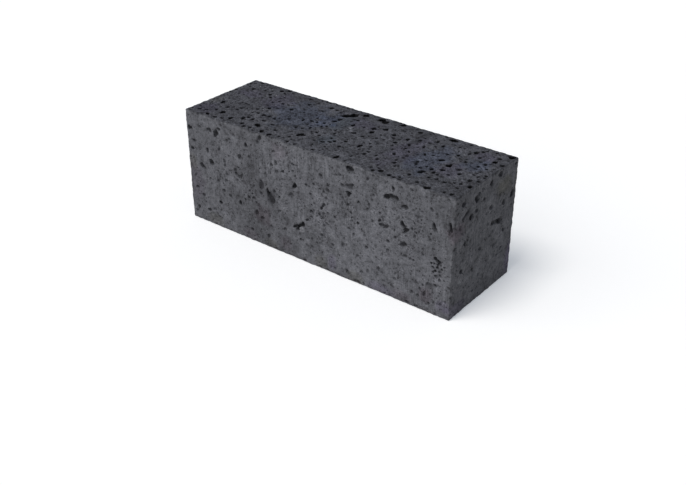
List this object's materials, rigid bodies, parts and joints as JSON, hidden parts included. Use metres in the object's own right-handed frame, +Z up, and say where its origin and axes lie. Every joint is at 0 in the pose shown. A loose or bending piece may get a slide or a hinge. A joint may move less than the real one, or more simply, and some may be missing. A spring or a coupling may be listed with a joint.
{
  "type": "concrete paving brick",
  "caption": "Long narrow concrete paving brick, pressed in one piece with flat faces and small worn arrises, for laying on sand in streets and paths.",
  "frame": {"origin": "middle of the bed face, on the ground", "axes": "+X along the length, +Y across the width, +Z up from the bed face to the wearing face"},
  "size_m": [0.21, 0.069, 0.08],
  "materials": {
    "concrete": "matte"
  },
  "bodies": {
    "root": {"brick": "concrete"}
  },
  "joints": []
}
